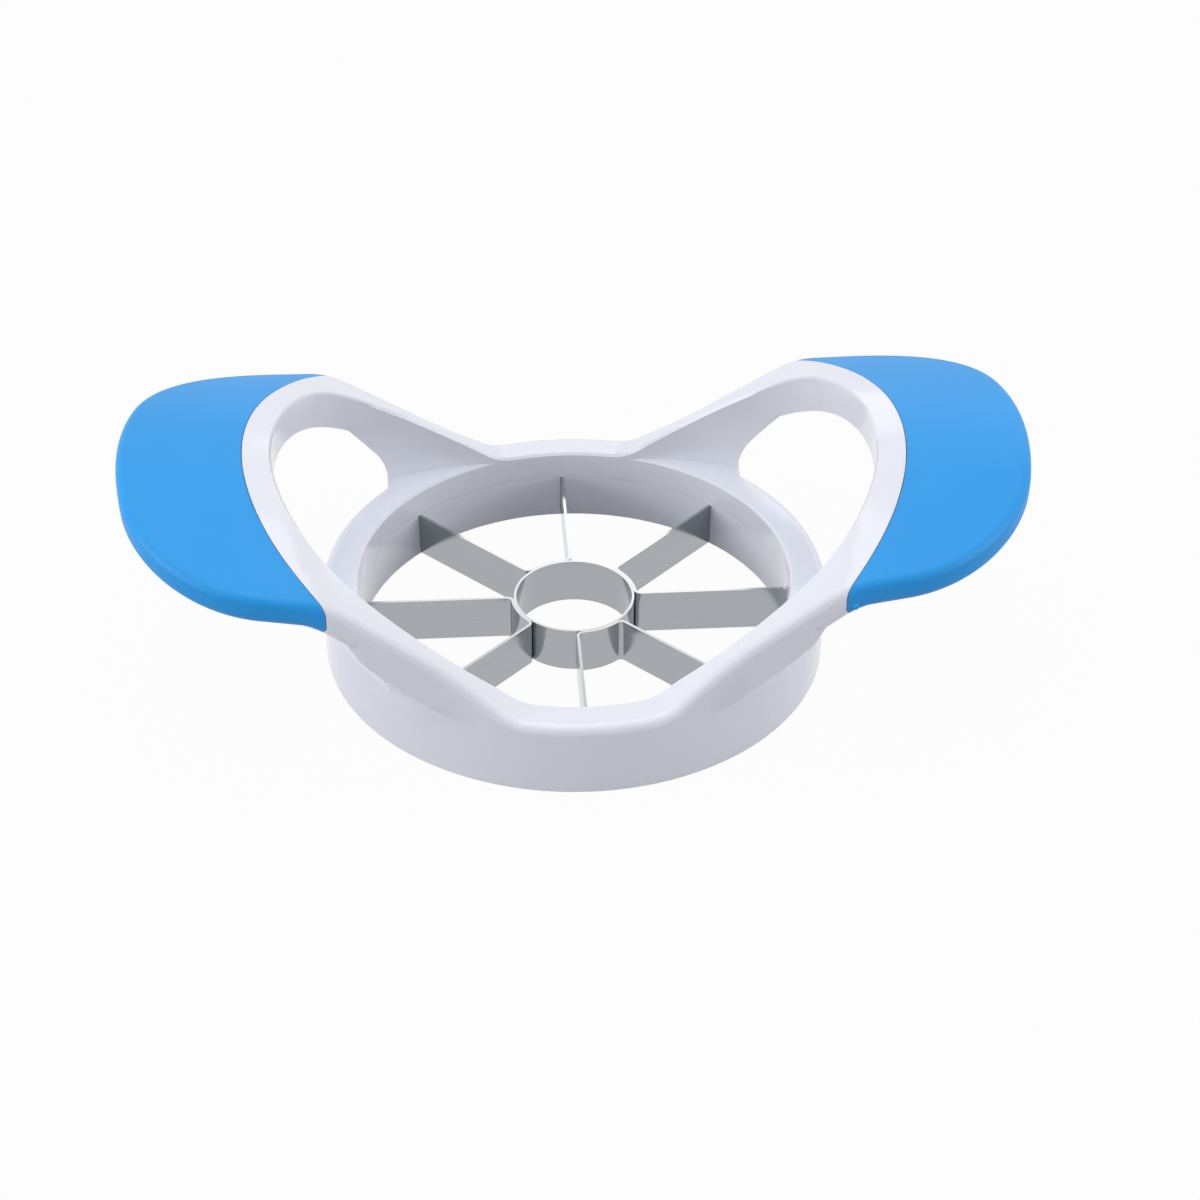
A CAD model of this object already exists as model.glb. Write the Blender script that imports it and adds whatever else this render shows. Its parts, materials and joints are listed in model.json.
# %% [markdown]
# # Apple slicer: a lesson in materials for a moulded tool
#
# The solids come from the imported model: a white moulded frame, a ring that
# traps the blades, four folded steel strips, a core tube and two soft grips.
# This lesson gives them the skins of the real thing: glossy white plastic,
# brushed stainless steel and a satin blue elastomer. It keeps the packed
# shapes, apart from a small mend where the handles stand on the ring, and
# adds a little trim. Everything is in metres, and the object stands on z = 0.

# %% Load the frame
import json
import math

import bmesh
import bpy
from mathutils import Euler, Matrix, Vector


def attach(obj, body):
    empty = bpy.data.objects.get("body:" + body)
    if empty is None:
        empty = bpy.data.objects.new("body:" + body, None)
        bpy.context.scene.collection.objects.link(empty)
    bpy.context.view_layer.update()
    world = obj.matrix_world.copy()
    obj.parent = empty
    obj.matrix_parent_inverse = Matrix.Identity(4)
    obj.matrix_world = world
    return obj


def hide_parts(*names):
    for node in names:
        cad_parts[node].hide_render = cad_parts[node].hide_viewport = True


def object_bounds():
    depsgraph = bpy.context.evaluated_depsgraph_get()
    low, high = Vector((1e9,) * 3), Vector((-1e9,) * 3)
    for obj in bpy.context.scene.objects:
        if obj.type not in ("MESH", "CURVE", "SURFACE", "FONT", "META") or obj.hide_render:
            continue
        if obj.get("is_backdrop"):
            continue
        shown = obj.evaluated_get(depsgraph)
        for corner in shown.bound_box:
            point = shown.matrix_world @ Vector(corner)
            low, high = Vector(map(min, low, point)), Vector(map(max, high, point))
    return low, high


MM = 0.001
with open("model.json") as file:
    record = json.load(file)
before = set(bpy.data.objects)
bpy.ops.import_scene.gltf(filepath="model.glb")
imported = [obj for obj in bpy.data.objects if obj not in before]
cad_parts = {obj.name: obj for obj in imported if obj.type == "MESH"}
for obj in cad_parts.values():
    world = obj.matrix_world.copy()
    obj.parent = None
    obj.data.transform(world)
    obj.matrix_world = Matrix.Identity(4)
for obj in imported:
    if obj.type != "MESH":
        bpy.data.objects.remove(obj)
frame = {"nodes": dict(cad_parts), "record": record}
nodes = frame["nodes"]
cad_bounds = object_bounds()
print("nodes:", sorted(nodes))

# %% [markdown]
# ## The picture's point of view
#
# A product picture is taken from a little above table height, here 37
# degrees, and from half a metre away, so nearer parts look larger. The
# camera is placed by its distance and height angle and aimed at the centre
# of the base. The small lens shift puts the object where the frame wants it
# without turning the camera.

# %% Camera
CAMERA_DISTANCE = 550.15 * MM
CAMERA_HEIGHT_ANGLE = math.radians(36.91)
CAMERA_SIDE_ANGLE = math.radians(-3.52)
LENS_MM = 78.99
SENSOR_MM = 36.0
LENS_SHIFT = (0.0216, 0.0282)
NEAREST_SEEN = 10 * MM
RIGHT_ANGLE = math.radians(90)


def add_camera():
    data = bpy.data.cameras.new("camera")
    data.sensor_fit = "HORIZONTAL"
    data.sensor_width = SENSOR_MM
    data.lens = LENS_MM
    data.shift_x, data.shift_y = LENS_SHIFT
    data.clip_start = NEAREST_SEEN
    camera = bpy.data.objects.new("camera", data)
    bpy.context.scene.collection.objects.link(camera)
    flat = CAMERA_DISTANCE * math.cos(CAMERA_HEIGHT_ANGLE)
    height = CAMERA_DISTANCE * math.sin(CAMERA_HEIGHT_ANGLE)
    turn = Matrix.Rotation(CAMERA_SIDE_ANGLE, 3, "Z")
    camera.location = turn @ Vector((0, -flat, height))
    tilt = RIGHT_ANGLE - CAMERA_HEIGHT_ANGLE
    camera.rotation_euler = Euler((tilt, 0, CAMERA_SIDE_ANGLE))
    bpy.context.scene.camera = camera
    return camera


camera = add_camera()
print("camera at", tuple(round(value, 4) for value in camera.location))

# %% [markdown]
# ## A white world for the lens, a plain one for the object
#
# The background of a catalogue picture is plain white. A Light Path node
# makes the world white only for the rays that the camera, a mirror or a
# glass sends out. All other rays find a plain level of light, so that the
# pale plastic keeps its shading.

# %% White world
WHITE = (1, 1, 1)
WHITE_LEVEL = 1.0
SKY_COLOUR = (0.93, 0.95, 1.0)
SKY_LEVEL = 0.52


def seen_directly(tree):
    """1 where a ray comes from the camera, a reflection or a refraction."""
    path = tree.nodes.new("ShaderNodeLightPath")
    total = path.outputs["Is Camera Ray"]
    for ray in ("Is Glossy Ray", "Is Transmission Ray"):
        larger = tree.nodes.new("ShaderNodeMath")
        larger.operation = "MAXIMUM"
        tree.links.new(total, larger.inputs[0])
        tree.links.new(path.outputs[ray], larger.inputs[1])
        total = larger.outputs[0]
    return total


def light_shader(tree, kind, colour, strength):
    """A Background or Emission node of one colour."""
    node = tree.nodes.new(kind)
    node.inputs["Color"].default_value = (*colour, 1)
    node.inputs["Strength"].default_value = strength
    return node.outputs[0]


def mix_to_surface(tree, share, first, second, out_kind):
    """Mixes two shaders by a share and sends the result to the output."""
    mix = tree.nodes.new("ShaderNodeMixShader")
    out = tree.nodes.new(out_kind)
    tree.links.new(share, mix.inputs["Fac"])
    tree.links.new(first, mix.inputs[1])
    tree.links.new(second, mix.inputs[2])
    tree.links.new(mix.outputs[0], out.inputs["Surface"])


def white_world():
    world = bpy.data.worlds.new("white_studio")
    world.use_nodes = True
    tree = world.node_tree
    tree.nodes.clear()
    lit = light_shader(tree, "ShaderNodeBackground", SKY_COLOUR, SKY_LEVEL)
    shown = light_shader(tree, "ShaderNodeBackground", WHITE, WHITE_LEVEL)
    mix_to_surface(tree, seen_directly(tree), lit, shown, "ShaderNodeOutputWorld")
    bpy.context.scene.world = world


white_world()
print("sky level", SKY_LEVEL)

# %% [markdown]
# ## The table
#
# The table could be a thick slab, but only its top is ever seen, so a flat
# panel does, a hair below the object's base. It is matt grey for the light,
# so it throws little back on the object and holds a shadow, and it glows
# nearly white for the lens. It belongs to the picture's stage and not to
# the object.

# %% Table
TABLE_SIZE = (6, 6)
TABLE_PLACE = (0, 0, -0.05 * MM)
TABLE_GREY = (0.36, 0.37, 0.4)
TABLE_GLOW = 0.97
HALF_METRE = 0.5


def table_material():
    material = bpy.data.materials.new("white_table")
    material.use_nodes = True
    tree = material.node_tree
    tree.nodes.clear()
    matt = tree.nodes.new("ShaderNodeBsdfDiffuse")
    matt.inputs["Color"].default_value = (*TABLE_GREY, 1)
    glow = light_shader(tree, "ShaderNodeEmission", WHITE, WHITE_LEVEL)
    share = tree.nodes.new("ShaderNodeMath")
    share.operation = "MULTIPLY"
    share.inputs[1].default_value = TABLE_GLOW
    tree.links.new(seen_directly(tree), share.inputs[0])
    mix_to_surface(tree, share.outputs[0], matt.outputs[0], glow, "ShaderNodeOutputMaterial")
    return material


def staged_panel(name, size, place, tilt, material):
    """A flat panel of the stage: one square metre, scaled, tilted and moved."""
    shape = bmesh.new()
    bmesh.ops.create_grid(shape, x_segments=1, y_segments=1, size=HALF_METRE)
    bmesh.ops.scale(shape, vec=(*size, 1), verts=shape.verts)
    bmesh.ops.rotate(shape, matrix=Matrix.Rotation(tilt, 3, "X"), verts=shape.verts)
    bmesh.ops.translate(shape, vec=place, verts=shape.verts)
    mesh = bpy.data.meshes.new(name)
    shape.to_mesh(mesh)
    shape.free()
    mesh.materials.append(material)
    panel = bpy.data.objects.new(name, mesh)
    bpy.context.scene.collection.objects.link(panel)
    panel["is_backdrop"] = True
    return panel


staged_panel("table", TABLE_SIZE, TABLE_PLACE, 0, table_material())
print("table", TABLE_SIZE, "m")

# %% [markdown]
# ## Soft boxes
#
# Soft boxes are large area lamps. A wide one hangs above, one stands low on
# each side, and a weak one behind draws the far edges. Large and weak lamps
# give the glossy plastic broad, mild highlights and keep the shadows soft.

# %% Soft boxes
LAMP_AIM = Vector((0, 0, 20 * MM))
SOFT_BOXES = {
    # name: (place, (width, height), power), in metres and watts
    "top_box": ((-0.1, 0.05, 0.95), (0.9, 0.7), 3.2),
    "left_box": ((-0.85, -0.32, 0.25), (0.6, 0.6), 4.5),
    "right_box": ((0.82, -0.36, 0.28), (0.6, 0.6), 3.3),
    "rear_box": ((0.3, 0.85, 0.5), (0.8, 0.35), 1.0),
}


def soft_box(name, place, size, power):
    """A rectangular lamp at a place, turned towards the object."""
    data = bpy.data.lights.new(name, "AREA")
    data.shape = "RECTANGLE"
    data.size, data.size_y = size
    data.energy = power
    lamp = bpy.data.objects.new(name, data)
    lamp.location = place
    direction = LAMP_AIM - Vector(place)
    lamp.rotation_euler = direction.to_track_quat("-Z", "Y").to_euler()
    bpy.context.scene.collection.objects.link(lamp)


for name, (place, size, power) in SOFT_BOXES.items():
    soft_box(name, place, size, power)
bpy.context.scene.view_settings.view_transform = "Standard"
print("soft boxes:", ", ".join(SOFT_BOXES))

# %% [markdown]
# ## A dark card in front
#
# White things lose their form in a white room. In a studio, a dark card is
# held beside the lens: faces that look at it get less light and turn a shade
# greyer than the faces that look up or sideways. Weaker lamps would darken
# all faces alike. The card only works on light, so the camera doesn't see it.

# %% Dark card
CARD_SIZE = (1.1, 0.62)
CARD_PLACE = (0, -0.72, 0.33)
CARD_COLOUR = (0.06, 0.06, 0.07)
CARD_ROUGHNESS = 0.9


def new_finish(name):
    """A material with one Principled shader; gives material, tree, shader."""
    material = bpy.data.materials.new(name)
    material.use_nodes = True
    tree = material.node_tree
    return material, tree, tree.nodes["Principled BSDF"]


def set_constants(shader, values):
    """Sets what is the same all over a surface on the shader's own sockets."""
    for socket, value in values.items():
        shader.inputs[socket].default_value = value


def dark_card():
    material, _, shader = new_finish("dark_card")
    set_constants(shader, {"Base Color": (*CARD_COLOUR, 1), "Roughness": CARD_ROUGHNESS})
    card = staged_panel("dark_card", CARD_SIZE, CARD_PLACE, RIGHT_ANGLE, material)
    card.visible_camera = False


dark_card()
print("dark card", CARD_SIZE, "m")

# %% [markdown]
# ## Building blocks for materials
#
# Every finish is a Principled shader with a few procedural nodes in front
# of it: a pattern on Object coordinates for the grain, a ramp for its
# colour, a range for its roughness, and a bump. Small helpers keep the
# finishes short. A noise of scale 20 has patches about 1/20 of a metre wide.

# %% Material helpers
RAMP_LOW = 0.3
RAMP_HIGH = 0.7


def object_coordinates(tree, scale=(1, 1, 1)):
    """Object coordinates, stretched by a Mapping node."""
    source = tree.nodes.new("ShaderNodeTexCoord")
    mapping = tree.nodes.new("ShaderNodeMapping")
    mapping.inputs["Scale"].default_value = scale
    tree.links.new(source.outputs["Object"], mapping.inputs["Vector"])
    return mapping.outputs[0]


def noise(tree, vector, scale, detail=2.0, roughness=0.5):
    texture = tree.nodes.new("ShaderNodeTexNoise")
    texture.inputs["Scale"].default_value = scale
    texture.inputs["Detail"].default_value = detail
    texture.inputs["Roughness"].default_value = roughness
    tree.links.new(vector, texture.inputs["Vector"])
    return texture.outputs["Fac"]


def ramp(tree, value, tones):
    """Blends two tones where a pattern goes from low to high."""
    node = tree.nodes.new("ShaderNodeValToRGB")
    for stop, place, tone in zip(node.color_ramp.elements, (RAMP_LOW, RAMP_HIGH), tones):
        stop.position = place
        stop.color = (*tone, 1)
    tree.links.new(value, node.inputs["Fac"])
    return node.outputs["Color"]


def spread(tree, value, limits):
    """Spreads a pattern of 0 to 1 between two limits."""
    node = tree.nodes.new("ShaderNodeMapRange")
    node.inputs["To Min"].default_value, node.inputs["To Max"].default_value = limits
    tree.links.new(value, node.inputs["Value"])
    return node.outputs["Result"]


def bump(tree, height, depth):
    node = tree.nodes.new("ShaderNodeBump")
    node.inputs["Distance"].default_value = depth
    node.inputs["Strength"].default_value = 1.0
    tree.links.new(height, node.inputs["Height"])
    return node.outputs["Normal"]


print("tones blend from", RAMP_LOW, "to", RAMP_HIGH, "of a pattern")

# %% [markdown]
# ## Glossy white plastic
#
# The frame is one injection moulding in white styrene plastic. Such a
# surface is smooth and bright, but not a mirror: it waves very slightly
# where the plastic shrank. A little light sinks in and comes out again
# nearby, which softens the edges, so the shader has some subsurface.

# %% White plastic
PLASTIC_TONES = ((0.80, 0.81, 0.875), (0.82, 0.83, 0.89))
PLASTIC_ROUGHNESS = (0.11, 0.17)
PLASTIC_CLOUD = {"scale": 22.0}
PLASTIC_WAVE = {"scale": 45.0, "detail": 0.0}
PLASTIC_WAVE_DEPTH = 0.05 * MM
PLASTIC_CONSTANTS = {
    "IOR": 1.49,
    "Subsurface Weight": 0.12,
    "Subsurface Radius": (1.0, 1.0, 1.0),
    "Subsurface Scale": 1.5 * MM,
}


def white_plastic():
    material, tree, shader = new_finish("white_plastic")
    place = object_coordinates(tree)
    cloud = noise(tree, place, **PLASTIC_CLOUD)
    wave = noise(tree, place, **PLASTIC_WAVE)
    tree.links.new(ramp(tree, cloud, PLASTIC_TONES), shader.inputs["Base Color"])
    tree.links.new(spread(tree, cloud, PLASTIC_ROUGHNESS), shader.inputs["Roughness"])
    tree.links.new(bump(tree, wave, PLASTIC_WAVE_DEPTH), shader.inputs["Normal"])
    set_constants(shader, PLASTIC_CONSTANTS)
    return material


FINISH = {"frame_plastic": white_plastic()}
print("made", FINISH["frame_plastic"].name)

# %% [markdown]
# ## Blue elastomer
#
# The palm rests are a soft rubber moulded over the frame. It is matt to
# satin, takes a fine spark-eroded grain from the mould, and looks paler
# where light grazes it, which the sheen gives.

# %% Blue elastomer
RUBBER_TONES = ((0.016, 0.315, 0.77), (0.020, 0.335, 0.80))
RUBBER_ROUGHNESS = (0.42, 0.55)
RUBBER_CLOUD = {"scale": 35.0, "detail": 3.0}
RUBBER_GRAIN = {"scale": 2600.0, "roughness": 0.6}
RUBBER_GRAIN_DEPTH = 0.015 * MM
RUBBER_CONSTANTS = {
    "IOR": 1.45,
    "Specular IOR Level": 0.4,
    "Sheen Weight": 0.06,
    "Sheen Roughness": 0.4,
    "Sheen Tint": (0.5, 0.78, 1.0, 1),
}


def blue_elastomer():
    material, tree, shader = new_finish("blue_elastomer")
    place = object_coordinates(tree)
    cloud = noise(tree, place, **RUBBER_CLOUD)
    grain = noise(tree, place, **RUBBER_GRAIN)
    tree.links.new(ramp(tree, cloud, RUBBER_TONES), shader.inputs["Base Color"])
    tree.links.new(spread(tree, grain, RUBBER_ROUGHNESS), shader.inputs["Roughness"])
    tree.links.new(bump(tree, grain, RUBBER_GRAIN_DEPTH), shader.inputs["Normal"])
    set_constants(shader, RUBBER_CONSTANTS)
    return material


FINISH["soft_grip"] = blue_elastomer()
print("made", FINISH["soft_grip"].name)

# %% [markdown]
# ## Brushed stainless steel
#
# The strips and the core tube are cut from rolled sheet. The rolling
# leaves fine lines along the strip, so the pattern is squeezed in height
# and drawn out sideways, and it drives roughness and a very small bump.
# The upper edges were cut and ground, so they shine brighter than the sides.
# They are found by the surface normal, which points straight up there.

# %% Brushed steel
STEEL_SIDE_TONES = ((0.372, 0.390, 0.410), (0.400, 0.418, 0.438))
STEEL_EDGE_TONE = (0.48, 0.49, 0.50)
STEEL_ROUGHNESS = (0.12, 0.18)
STEEL_STRETCH = (24, 24, 4200)
STEEL_LINES = {"scale": 1.0, "detail": 3.0}
STEEL_LINE_DEPTH = 0.001 * MM
UPWARD_FROM = 0.5
UPWARD_FULL = 0.9


def facing_up(tree):
    """1 on level faces that look up, 0 on upright ones."""
    surface = tree.nodes.new("ShaderNodeNewGeometry")
    parts = tree.nodes.new("ShaderNodeSeparateXYZ")
    limits = tree.nodes.new("ShaderNodeMapRange")
    limits.inputs["From Min"].default_value = UPWARD_FROM
    limits.inputs["From Max"].default_value = UPWARD_FULL
    tree.links.new(surface.outputs["Normal"], parts.inputs[0])
    tree.links.new(parts.outputs["Z"], limits.inputs["Value"])
    return limits.outputs["Result"]


def brushed_steel():
    material, tree, shader = new_finish("brushed_steel")
    place = object_coordinates(tree, STEEL_STRETCH)
    lines = noise(tree, place, **STEEL_LINES)
    tone = tree.nodes.new("ShaderNodeMix")
    tone.data_type = "RGBA"
    tone.inputs["B"].default_value = (*STEEL_EDGE_TONE, 1)
    tree.links.new(facing_up(tree), tone.inputs["Factor"])
    tree.links.new(ramp(tree, lines, STEEL_SIDE_TONES), tone.inputs["A"])
    tree.links.new(tone.outputs["Result"], shader.inputs["Base Color"])
    tree.links.new(spread(tree, lines, STEEL_ROUGHNESS), shader.inputs["Roughness"])
    tree.links.new(bump(tree, lines, STEEL_LINE_DEPTH), shader.inputs["Normal"])
    set_constants(shader, {"Metallic": 1.0})
    return material


FINISH["blade_steel"] = brushed_steel()
print("made", FINISH["blade_steel"].name)

# %% [markdown]
# ## Where a handle stands on the ring
#
# A web carries each arm of a handle on the ring. Its outer end climbs in a
# slope that should run into the arm's underside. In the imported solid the
# slope ends just short of it and leaves a tooth less than a millimetre high.
# In the copy that becomes the skin, the tooth's corners are slid on along
# the slope until they lie inside the arm. The higher a corner stands on the
# tooth, the less it has to move. A new web could be modelled instead, but
# this leaves the rest of the skin alone. The lengths here are millimetres.

# %% Webs
WEB_CLIMB = math.radians(55)
SLOPE_GROWTH = 3.6
TOOTH_X = 44.19
TOOTH_FOOT = 28.72
TOOTH_HEIGHT = 0.9
TOOTH_REACH = 0.25
TOOTH_SIDES = {
    # side of a web: (nearest y, farthest y, drift in y for each mm outwards)
    "loop": (33.9, 34.2, -0.59),
    "flank": (42.5, 42.8, -0.7),
}
LEAST_SHARE = 0.1
MOST_SHARE = 1.05


def lengthen_webs(shape):
    """Slides the upper ends of the webs' slopes into the arms they carry."""
    outwards = SLOPE_GROWTH * math.cos(WEB_CLIMB)
    upwards = SLOPE_GROWTH * math.sin(WEB_CLIMB)
    moved = 0
    for vert in shape.verts:
        x, y, z = (abs(part) / MM for part in vert.co)
        share = 1 - (z - TOOTH_FOOT) / TOOTH_HEIGHT
        if abs(x - TOOTH_X) > TOOTH_REACH or not LEAST_SHARE < share < MOST_SHARE:
            continue
        for nearest, farthest, drift in TOOTH_SIDES.values():
            if nearest < y < farthest:
                slide = (outwards, outwards * drift, upwards)
                vert.co += Vector(math.copysign(share * MM, old) * way for old, way in zip(vert.co, slide))
                moved += 1
    print("lengthened the webs at", moved, "corners")


print("slopes grow by", SLOPE_GROWTH, "mm")

# %% [markdown]
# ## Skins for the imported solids
#
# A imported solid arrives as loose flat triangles, so its round edges would
# show facets. A merged copy of it can be shaded smoothly: its vertices are
# joined, edges sharper than a limit stay crisp, and a Weighted Normal
# modifier keeps the large faces flat right up to their rounded rims. The
# copy's own stored normals are dropped, because they would win over these.

# %% Skins
SHARP_EDGE = math.radians(40)
MERGE_DISTANCE = 0.002 * MM


def shade(shape):
    """Smooth shading, with the edges sharper than the limit kept crisp."""
    shape.normal_update()
    for face in shape.faces:
        face.smooth = True
    for edge in shape.edges:
        edge.smooth = edge.calc_face_angle(0) < SHARP_EDGE


def new_piece(name, shape, slot_name):
    """A finished piece from a bmesh, in the finish of a material slot."""
    shade(shape)
    mesh = bpy.data.meshes.new(name)
    shape.to_mesh(mesh)
    shape.free()
    if "custom_normal" in mesh.attributes:
        mesh.attributes.remove(mesh.attributes["custom_normal"])
    mesh.materials.append(FINISH[slot_name])
    piece = bpy.data.objects.new(name, mesh)
    bpy.context.scene.collection.objects.link(piece)
    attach(piece, "root")
    print(name, len(mesh.polygons), "faces")
    return piece


def skin(node_name, slot_name):
    """A merged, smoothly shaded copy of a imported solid, in its place."""
    shape = bmesh.new()
    shape.from_mesh(nodes[node_name].data)
    bmesh.ops.remove_doubles(shape, verts=shape.verts, dist=MERGE_DISTANCE)
    if node_name == "frame":
        lengthen_webs(shape)
    piece = new_piece(node_name + "_skin", shape, slot_name)
    normals = piece.modifiers.new("flat_faces", "WEIGHTED_NORMAL")
    normals.keep_sharp = True
    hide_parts(node_name)


slot_of = {part["node"]: part["material_slot"] for part in frame["record"]["subparts"]}
for name in sorted(nodes):
    skin(name, slot_of[name])

# %% [markdown]
# ## The ends of the rim's ledge
#
# Below each finger loop the rim runs on as a narrow ledge beside the blades.
# Its ends thin out to nothing against the wall of the bore. Each end is a
# slice of a ring: a small section is spun about the middle of the slicer,
# and its outer part lies hidden in the wall. The slice is cut off where the
# packed ledge begins, and mirrored to make four.

# %% Ledge ends
BORE_RADIUS = 44.3
HIDDEN_RADIUS = 46.5
RIM_HEIGHT = 16.1
RIM_BEVEL = 0.5
LEDGE_FOOT = 10.0
LEDGE_X = 20.0
LEDGE_START = math.radians(71.9)
LEDGE_TURN = math.radians(-12)
LEDGE_STEPS = 12


def whole(shape):
    return shape.verts[:] + shape.edges[:] + shape.faces[:]


def ledge_ends():
    shape = bmesh.new()
    section = [
        (BORE_RADIUS, LEDGE_FOOT),
        (BORE_RADIUS, RIM_HEIGHT - RIM_BEVEL),
        (BORE_RADIUS + RIM_BEVEL, RIM_HEIGHT),
        (HIDDEN_RADIUS, RIM_HEIGHT),
        (HIDDEN_RADIUS, LEDGE_FOOT),
    ]
    shape.faces.new([shape.verts.new((radius * MM, 0, height * MM)) for radius, height in section])
    bmesh.ops.rotate(shape, matrix=Matrix.Rotation(LEDGE_START, 3, "Z"), verts=shape.verts)
    bmesh.ops.spin(
        shape, geom=whole(shape), axis=(0, 0, 1), cent=(0, 0, 0),
        angle=LEDGE_TURN, steps=LEDGE_STEPS, use_duplicate=False,
    )
    bmesh.ops.bisect_plane(
        shape, geom=whole(shape), plane_co=(LEDGE_X * MM, 0, 0), plane_no=(1, 0, 0), clear_outer=True,
    )
    bmesh.ops.holes_fill(shape, edges=[edge for edge in shape.edges if edge.is_boundary], sides=0)
    for axis in ("X", "Y"):
        bmesh.ops.mirror(shape, geom=whole(shape), matrix=Matrix(), merge_dist=-1, axis=axis)
    bmesh.ops.remove_doubles(shape, verts=shape.verts, dist=MERGE_DISTANCE)
    bmesh.ops.recalc_face_normals(shape, faces=shape.faces)
    new_piece("ledge_ends", shape, "frame_plastic")


ledge_ends()

# %% [markdown]
# ## Traces of the moulding
#
# A moulding is never quite clean. Where the right blade enters the wall, a
# bead of white plastic has run up beside it, and the blue rubber has left a
# small drop of flash at the foot of its seam. Each is a little sphere, sunk
# to about half its height in the surface it sits on.

# %% Bead and flash
BEAD_PLACE = (44.1, 0, 10.3)
BEAD_RADIUS = 0.75
FLASH_PLACE = (50.8, -41.6, 35.5)
FLASH_RADIUS = 0.8
DROP_SUBDIVISIONS = 3


def drop(name, place, radius, slot_name):
    shape = bmesh.new()
    bmesh.ops.create_icosphere(shape, subdivisions=DROP_SUBDIVISIONS, radius=radius * MM)
    bmesh.ops.translate(shape, vec=Vector(place) * MM, verts=shape.verts)
    new_piece(name, shape, slot_name)


drop("blade_bead", BEAD_PLACE, BEAD_RADIUS, "frame_plastic")
drop("seam_flash", FLASH_PLACE, FLASH_RADIUS, "soft_grip")

# %% [markdown]
# ## Sizes
#
# The skins and the trim must not make the object larger.

# %% Sizes, then finish
size = {
    "cad": [list(corner) for corner in cad_bounds],
    "visual": [list(corner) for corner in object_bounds()],
}
